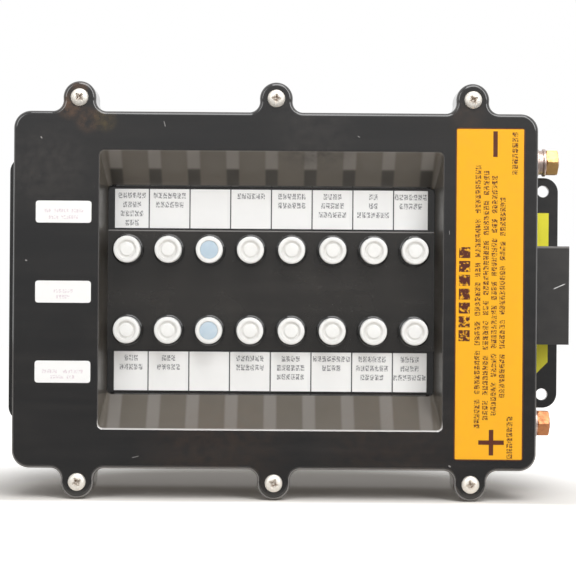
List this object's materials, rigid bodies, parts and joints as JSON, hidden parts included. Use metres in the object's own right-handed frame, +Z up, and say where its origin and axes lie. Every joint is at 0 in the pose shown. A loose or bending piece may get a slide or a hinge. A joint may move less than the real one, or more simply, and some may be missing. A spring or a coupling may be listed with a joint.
{
  "type": "circuit breaker box",
  "caption": "Sealed bulkhead box with a sunk well of push to reset breakers in two rows, labels beside them, battery studs and an output header on the right wall.",
  "frame": {"origin": "centre of the rear face, which lies on the bulkhead", "axes": "+X to the right seen from the front, +Z up, +Y from the front of the cover into the bulkhead"},
  "size_m": [0.3055, 0.0786, 0.2172],
  "materials": {
    "black_plastic": "glossy moulded, faint smudges",
    "header_black": "satin moulded",
    "breaker_black": "matte moulded",
    "white_plastic": "smooth moulded",
    "pale_blue": "smooth",
    "white_label": "satin film",
    "orange_label": "satin film",
    "yellow_plastic": "moulded",
    "board_green": "lacquered laminate",
    "rubber": "soft black",
    "steel": "nickel plated, slightly stained",
    "brass": "plain",
    "copper": "copper, slightly pink"
  },
  "bodies": {
    "box": {"rear_case": "black_plastic", "front_cover": "black_plastic", "perimeter_gasket": "rubber", "cover_screws": "steel", "collar_nuts": "black_plastic", "breaker_01": "breaker_black", "breaker_02": "breaker_black", "breaker_04": "breaker_black", "breaker_05": "breaker_black", "breaker_06": "breaker_black", "breaker_07": "breaker_black", "breaker_08": "breaker_black", "breaker_09": "breaker_black", "breaker_10": "breaker_black", "breaker_12": "breaker_black", "breaker_13": "breaker_black", "breaker_14": "breaker_black", "breaker_15": "breaker_black", "breaker_16": "breaker_black", "spare_plug_upper": "white_plastic", "spare_plug_lower": "white_plastic", "spare_plug_discs": "pale_blue", "label_strip_upper": "white_label", "label_strip_lower": "white_label", "polarity_label": "orange_label", "rating_label_upper": "white_label", "rating_label_middle": "white_label", "rating_label_lower": "white_label", "circuit_board": "board_green", "board_screws": "steel", "feed_bus_bar": "copper", "negative_strip": "copper", "positive_stud": "copper", "negative_stud": "brass", "positive_nut": "copper", "negative_nut": "brass", "flat_washers": "steel", "lock_washer_upper": "steel", "output_header": "header_black", "header_pins": "brass", "header_seal": "rubber", "header_lock": "yellow_plastic"},
    "reset_button_01": {"reset_button_01": "white_plastic"},
    "reset_button_02": {"reset_button_02": "white_plastic"},
    "reset_button_04": {"reset_button_04": "white_plastic"},
    "reset_button_05": {"reset_button_05": "white_plastic"},
    "reset_button_06": {"reset_button_06": "white_plastic"},
    "reset_button_07": {"reset_button_07": "white_plastic"},
    "reset_button_08": {"reset_button_08": "white_plastic"},
    "reset_button_09": {"reset_button_09": "white_plastic"},
    "reset_button_10": {"reset_button_10": "white_plastic"},
    "reset_button_12": {"reset_button_12": "white_plastic"},
    "reset_button_13": {"reset_button_13": "white_plastic"},
    "reset_button_14": {"reset_button_14": "white_plastic"},
    "reset_button_15": {"reset_button_15": "white_plastic"},
    "reset_button_16": {"reset_button_16": "white_plastic"}
  },
  "joints": [
    {"name": "button_01_travel", "type": "slide", "parent": "box", "child": "reset_button_01", "axis": [0, -1, 0], "range_m": [0, 0.003]},
    {"name": "button_02_travel", "type": "slide", "parent": "box", "child": "reset_button_02", "axis": [0, -1, 0], "range_m": [0, 0.003]},
    {"name": "button_04_travel", "type": "slide", "parent": "box", "child": "reset_button_04", "axis": [0, -1, 0], "range_m": [0, 0.003]},
    {"name": "button_05_travel", "type": "slide", "parent": "box", "child": "reset_button_05", "axis": [0, -1, 0], "range_m": [0, 0.003]},
    {"name": "button_06_travel", "type": "slide", "parent": "box", "child": "reset_button_06", "axis": [0, -1, 0], "range_m": [0, 0.003]},
    {"name": "button_07_travel", "type": "slide", "parent": "box", "child": "reset_button_07", "axis": [0, -1, 0], "range_m": [0, 0.003]},
    {"name": "button_08_travel", "type": "slide", "parent": "box", "child": "reset_button_08", "axis": [0, -1, 0], "range_m": [0, 0.003]},
    {"name": "button_09_travel", "type": "slide", "parent": "box", "child": "reset_button_09", "axis": [0, -1, 0], "range_m": [0, 0.003]},
    {"name": "button_10_travel", "type": "slide", "parent": "box", "child": "reset_button_10", "axis": [0, -1, 0], "range_m": [0, 0.003]},
    {"name": "button_12_travel", "type": "slide", "parent": "box", "child": "reset_button_12", "axis": [0, -1, 0], "range_m": [0, 0.003]},
    {"name": "button_13_travel", "type": "slide", "parent": "box", "child": "reset_button_13", "axis": [0, -1, 0], "range_m": [0, 0.003]},
    {"name": "button_14_travel", "type": "slide", "parent": "box", "child": "reset_button_14", "axis": [0, -1, 0], "range_m": [0, 0.003]},
    {"name": "button_15_travel", "type": "slide", "parent": "box", "child": "reset_button_15", "axis": [0, -1, 0], "range_m": [0, 0.003]},
    {"name": "button_16_travel", "type": "slide", "parent": "box", "child": "reset_button_16", "axis": [0, -1, 0], "range_m": [0, 0.003]}
  ]
}
